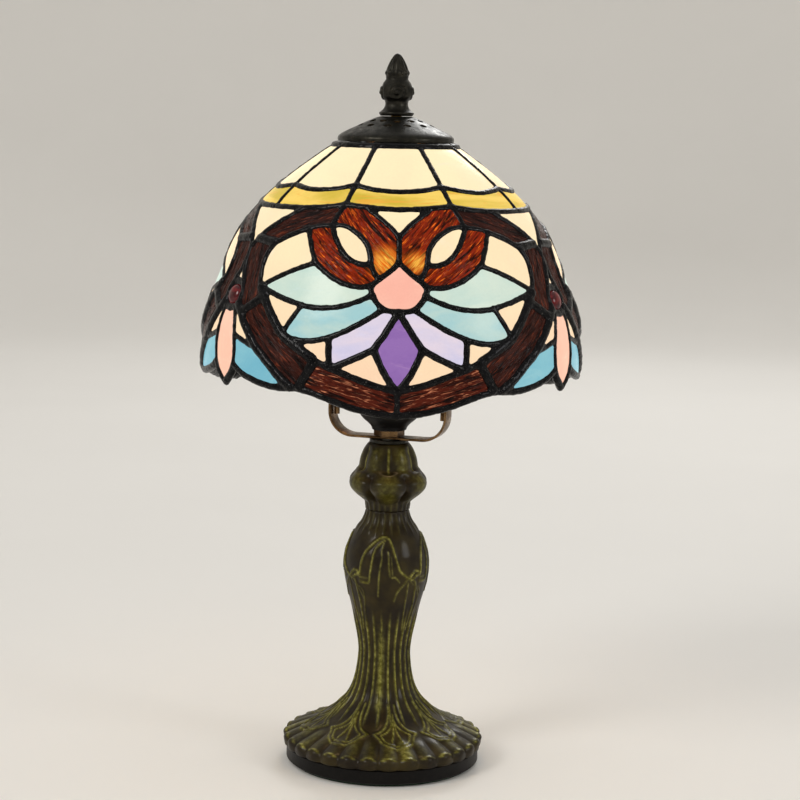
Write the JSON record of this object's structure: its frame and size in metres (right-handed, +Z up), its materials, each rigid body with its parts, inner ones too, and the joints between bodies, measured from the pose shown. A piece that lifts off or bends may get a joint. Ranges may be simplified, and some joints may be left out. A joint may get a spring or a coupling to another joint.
{
  "type": "stained glass table lamp",
  "caption": "Small table lamp: a leaded art-glass dome with flower medallions on a brass harp, above a cast lily-stem base with a vented cap and bud finial.",
  "frame": {"origin": "centre of the felt pad's underside, on the lamp's axis", "axes": "+Z up along the stem; the front medallion faces -Y"},
  "size_m": [0.2036, 0.2036, 0.388],
  "materials": {
    "amber_green_glass": "streaky amber and yellow-green glass",
    "antique_brass": "antique brass plating, satin",
    "black_plastic": "moulded",
    "black_plinth": "black paint, satin",
    "blue_petal_glass": "opalescent pale blue glass with cream and brown ripple panes",
    "bright_brass": "brass, polished",
    "bulb_glass": "frosted bulb, lit warm white",
    "cap_metal": "dark bronze-black paint, satin",
    "cast_iron": "raw casting",
    "cream_glass": "opalescent cream glass, lit from inside",
    "green_felt": "felt",
    "lead_came": "black patinated lead and solder, uneven satin",
    "lilac_glass": "lilac, purple, pink and amber ripple panes",
    "patina_bronze": "dark bronze patina with olive-gold highlights, glossy",
    "pink_glass": "pink, cream and blue panes",
    "plated_steel": "zinc plated",
    "porcelain": "glazed porcelain",
    "red_jewel_glass": "clear deep red pressed jewel"
  },
  "bodies": {
    "lamp_frame": {"ballast_plate": "cast_iron", "base_casting": "patina_bronze", "base_nut": "plated_steel", "centre_contact": "bright_brass", "cord_bushing": "black_plastic", "felt_pad": "green_felt", "harp_bow": "antique_brass", "harp_saddle": "antique_brass", "harp_stud": "bright_brass", "knob_casting": "patina_bronze", "plinth_ring": "black_plinth", "screw_shell": "plated_steel", "socket_cap": "black_plinth", "socket_core": "porcelain", "socket_nut": "antique_brass", "socket_shell": "bright_brass", "stem_washer": "antique_brass", "threaded_tube": "plated_steel"},
    "shade": {"band_pane_front_1": "amber_green_glass", "band_pane_front_2": "amber_green_glass", "band_pane_front_3": "amber_green_glass", "band_pane_left_1": "amber_green_glass", "band_pane_left_2": "amber_green_glass", "band_pane_left_3": "amber_green_glass", "band_pane_right_1": "amber_green_glass", "band_pane_right_2": "amber_green_glass", "band_pane_right_3": "amber_green_glass", "fan_pane_1": "pink_glass", "fan_pane_2": "pink_glass", "fan_pane_3": "pink_glass", "gable_pane_1": "cream_glass", "gable_pane_2": "cream_glass", "gable_pane_3": "cream_glass", "jewel_1": "red_jewel_glass", "jewel_2": "red_jewel_glass", "jewel_3": "red_jewel_glass", "medallion_heart_1": "lilac_glass", "medallion_heart_2": "lilac_glass", "medallion_heart_3": "lilac_glass", "medallion_left_1": "blue_petal_glass", "medallion_left_2": "blue_petal_glass", "medallion_left_3": "blue_petal_glass", "medallion_right_1": "blue_petal_glass", "medallion_right_2": "blue_petal_glass", "medallion_right_3": "blue_petal_glass", "shade_cap": "cap_metal", "shade_leading": "lead_came", "top_pane_front_1": "cream_glass", "top_pane_front_2": "cream_glass", "top_pane_front_3": "cream_glass", "top_pane_left_1": "cream_glass", "top_pane_left_2": "cream_glass", "top_pane_left_3": "cream_glass", "top_pane_right_1": "cream_glass", "top_pane_right_2": "cream_glass", "top_pane_right_3": "cream_glass"},
    "finial_bush": {"finial_bush": "bright_brass"},
    "finial": {"finial": "patina_bronze"},
    "bulb_cap": {"bulb_cap": "plated_steel"},
    "bulb_glass": {"bulb_glass": "bulb_glass"}
  },
  "joints": [
    {"name": "shade_swivel", "type": "hinge", "parent": "lamp_frame", "child": "shade", "pos_m": [0, 0, 0.352], "axis": [0, 0, 1], "continuous": true},
    {"name": "finial_lift", "type": "slide", "parent": "lamp_frame", "child": "finial_bush", "axis": [0, 0, 1], "range_m": [0, 0.0038]},
    {"name": "finial_turn", "type": "hinge", "parent": "finial_bush", "child": "finial", "pos_m": [0, 0, 0.356], "axis": [0, 0, 1], "range_deg": [0, 1440]},
    {"name": "bulb_lift", "type": "slide", "parent": "lamp_frame", "child": "bulb_cap", "axis": [0, 0, 1], "range_m": [0, 0.0182]},
    {"name": "bulb_turn", "type": "hinge", "parent": "bulb_cap", "child": "bulb_glass", "pos_m": [0, 0, 0.228], "axis": [0, 0, 1], "range_deg": [0, 1800]}
  ],
  "couplings": [
    {"joint": "finial_lift", "follows": "finial_turn", "m_per_rad": 0.0001496},
    {"joint": "bulb_lift", "follows": "bulb_turn", "m_per_rad": 0.0005777}
  ]
}
